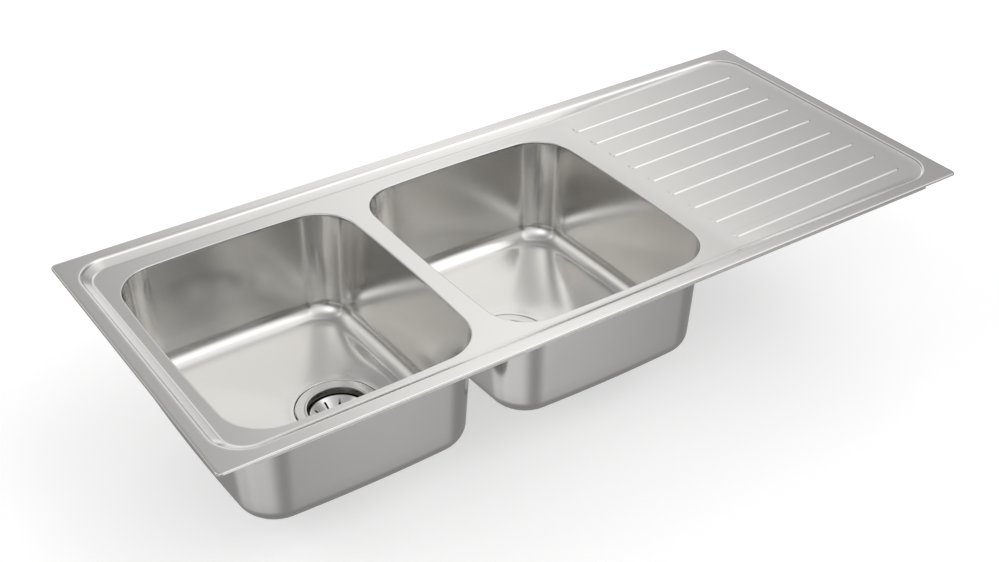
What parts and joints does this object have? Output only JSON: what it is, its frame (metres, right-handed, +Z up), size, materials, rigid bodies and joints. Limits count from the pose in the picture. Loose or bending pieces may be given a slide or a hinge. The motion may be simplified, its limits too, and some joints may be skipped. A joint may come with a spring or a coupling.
{
  "type": "kitchen sink",
  "caption": "Inset double bowl kitchen sink with deep rounded bowls, lift-out strainer baskets in its wastes and a ribbed drainer, pressed in stainless steel.",
  "frame": {"origin": "centre of the plane on which the rim sits, level with the top of the worktop", "axes": "+X along the sink from the bowls towards the drainer, +Y towards the wall behind the sink, +Z up"},
  "size_m": [1.16, 0.5, 0.2563],
  "materials": {
    "pressed_steel": "satin rolled stainless sheet",
    "waste_steel": "bright pressed stainless steel",
    "fastener_steel": "plain stainless steel",
    "galvanised_rail": "zinc-coated steel",
    "brass_insert": "turned brass",
    "white_plastic": "moulded polypropylene",
    "black_rubber": "smooth moulded rubber",
    "foam_seal": "closed-cell foam strip",
    "damping_pad": "matt bitumen sheet"
  },
  "bodies": {
    "sink": {"deck": "pressed_steel", "left_bowl": "pressed_steel", "right_bowl": "pressed_steel", "left_bowl_pad": "damping_pad", "right_bowl_pad": "damping_pad", "front_clip_rail": "galvanised_rail", "rear_clip_rail": "galvanised_rail", "left_clip_rail": "galvanised_rail", "right_clip_rail": "galvanised_rail", "rim_seal": "foam_seal", "drainer_pad": "damping_pad", "earth_tag": "pressed_steel", "earth_screw": "fastener_steel", "earth_nut": "fastener_steel", "left_waste_dish": "waste_steel", "left_flange_gasket": "black_rubber", "left_body_gasket": "black_rubber", "left_waste_body": "white_plastic", "left_screw_insert": "brass_insert", "left_body_screw": "fastener_steel", "right_waste_dish": "waste_steel", "right_flange_gasket": "black_rubber", "right_body_gasket": "black_rubber", "right_waste_body": "white_plastic", "right_screw_insert": "brass_insert", "right_body_screw": "fastener_steel"},
    "left_strainer": {"left_basket": "waste_steel", "left_basket_seal": "black_rubber", "left_basket_knob": "waste_steel", "left_basket_stem": "fastener_steel"},
    "right_strainer": {"right_basket": "waste_steel", "right_basket_seal": "black_rubber", "right_basket_knob": "waste_steel", "right_basket_stem": "fastener_steel"}
  },
  "joints": [
    {"name": "left_strainer_lift", "type": "slide", "parent": "sink", "child": "left_strainer", "axis": [0, 0, 1], "range_m": [0, 0.215]},
    {"name": "right_strainer_lift", "type": "slide", "parent": "sink", "child": "right_strainer", "axis": [0, 0, 1], "range_m": [0, 0.215]}
  ]
}
